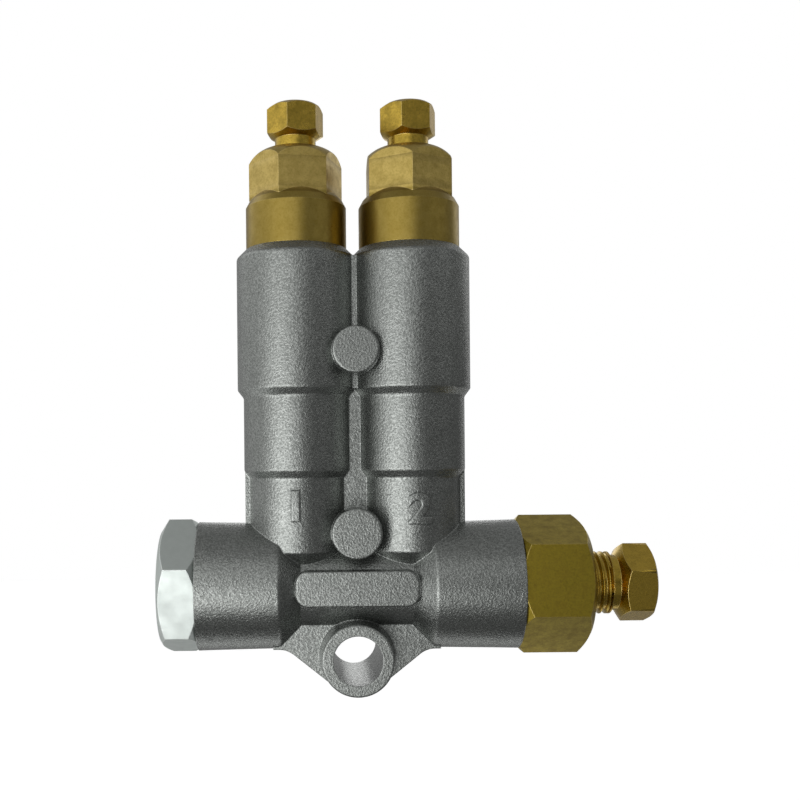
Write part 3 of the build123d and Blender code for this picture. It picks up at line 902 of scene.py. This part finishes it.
class DISTRIBUTOR_OT_stage(bpy.types.Operator):
    """Set up the camera, the room, the floor, the cards and the lamps"""

    bl_idname = "distributor.stage"
    bl_label = "Stage"

    def execute(self, context):
        sizes = context.scene.stage
        scene = context.scene
        scene.view_settings.view_transform = "Standard"
        axis = gallery_axis()

        camera = bpy.data.cameras.new("camera")
        camera.lens = sizes.lens
        camera.shift_x, camera.shift_y = sizes.shift
        camera.clip_start = 10 * MM
        holder = bpy.data.objects.new("camera", camera)
        holder.location = (
            sizes.camera_across, axis.y - sizes.distance, axis.z + sizes.camera_rise)
        holder.rotation_euler = (pi / 2, sizes.roll, 0)
        scene.collection.objects.link(holder)
        scene.camera = holder

        world = bpy.data.worlds.new("studio")
        scene.world = world
        world.use_nodes = True
        tree = world.node_tree
        room = tree.nodes["Background"]
        room.inputs["Color"].default_value = (1, 1, 1, 1)
        room.inputs["Strength"].default_value = sizes.ambient
        world.cycles.sampling_method = "NONE"
        white = add_node(tree, "ShaderNodeBackground", {"Color": (1, 1, 1, 1), "Strength": 1.0})
        both = add_node(
            tree, "ShaderNodeMixShader",
            {0: seen_or_mirrored(tree), 1: room.outputs[0], 2: white.outputs[0]})
        tree.links.new(both.outputs[0], tree.nodes["World Output"].inputs["Surface"])

        material, tree, shader, _ = start_material("floor_paper", 0.0, 0.9)
        shader.inputs["Base Color"].default_value = opaque([FLOOR_GREY] * 3)
        tree.links.new(seen_or_mirrored(tree), shader.inputs["Emission Strength"])
        shader.inputs["Emission Color"].default_value = opaque([sizes.floor_glow] * 3)
        material.cycles.emission_sampling = "NONE"
        card("floor", FLOOR_WIDTH, FLOOR_WIDTH,
             Matrix.Translation((0, 0, sizes.floor_depth)), material)

        aim = Vector((0, axis.y, AIM_HEIGHT))
        for name, azimuth, elevation, distance, width, height, glow in CARDS:
            material, _, shader, _ = start_material(f"{name}_felt", 0.0, 1.0)
            shader.inputs["Base Color"].default_value = opaque([0.0] * 3)
            shader.inputs["Specular IOR Level"].default_value = 0.0
            shader.inputs["Emission Color"].default_value = opaque([1.0] * 3)
            shader.inputs["Emission Strength"].default_value = glow
            where, turn = around(aim, azimuth, elevation, distance)
            made = card(
                name, width, height,
                Matrix.Translation(where) @ turn.to_matrix().to_4x4(), material)
            made.visible_camera = False
            made.visible_shadow = False

        for name, azimuth, elevation, distance, size, radiance in LAMPS:
            lamp = bpy.data.lights.new(name, "AREA")
            lamp.shape = "DISK"
            lamp.size = size
            lamp.energy = radiance * (pi * size / 2) ** 2
            stand = bpy.data.objects.new(name, lamp)
            stand.location, turn = around(aim, azimuth, elevation, distance)
            stand.rotation_euler = turn.to_euler()
            stand.visible_camera = False
            scene.collection.objects.link(stand)
        return {"FINISHED"}


OPERATORS = (
    DISTRIBUTOR_OT_casting,
    DISTRIBUTOR_OT_numerals,
    DISTRIBUTOR_OT_port_plug,
    DISTRIBUTOR_OT_inlet_adapter,
    DISTRIBUTOR_OT_inlet_union,
    DISTRIBUTOR_OT_metering_nipples,
    DISTRIBUTOR_OT_outlet_unions,
    DISTRIBUTOR_OT_inner_brass,
    DISTRIBUTOR_OT_inner_steel,
    DISTRIBUTOR_OT_rubber,
    DISTRIBUTOR_OT_springs,
    DISTRIBUTOR_OT_stage,
)

SETTINGS = {
    "casting": CastingSettings,
    "brass": BrassSettings,
    "plate": PlateSettings,
    "numerals": NumeralSettings,
    "thread": ThreadSettings,
    "springs": SpringSettings,
    "stage": StageSettings,
}


class DISTRIBUTOR_PT_looks(bpy.types.Panel):
    """Panel that lists the pieces and the stage"""

    bl_label = "Distributor"
    bl_idname = "DISTRIBUTOR_PT_looks"
    bl_space_type = "VIEW_3D"
    bl_region_type = "UI"
    bl_category = "Distributor"

    def draw(self, context):
        for operator in OPERATORS:
            self.layout.operator(operator.bl_idname)


def register():
    for group in SETTINGS.values():
        bpy.utils.register_class(group)
    for name, group in SETTINGS.items():
        setattr(bpy.types.Scene, name, bpy.props.PointerProperty(type=group))
    for operator in OPERATORS:
        bpy.utils.register_class(operator)
    bpy.utils.register_class(DISTRIBUTOR_PT_looks)


def unregister():
    bpy.utils.unregister_class(DISTRIBUTOR_PT_looks)
    for operator in reversed(OPERATORS):
        bpy.utils.unregister_class(operator)
    for name in SETTINGS:
        delattr(bpy.types.Scene, name)
    for group in SETTINGS.values():
        bpy.utils.unregister_class(group)


def main():
    """Dress the pieces and set up the stage."""
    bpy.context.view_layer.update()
    register()
    for operator in OPERATORS:
        group, name = operator.bl_idname.split(".")
        getattr(getattr(bpy.ops, group), name)()


if __name__ == "__main__":
    main()
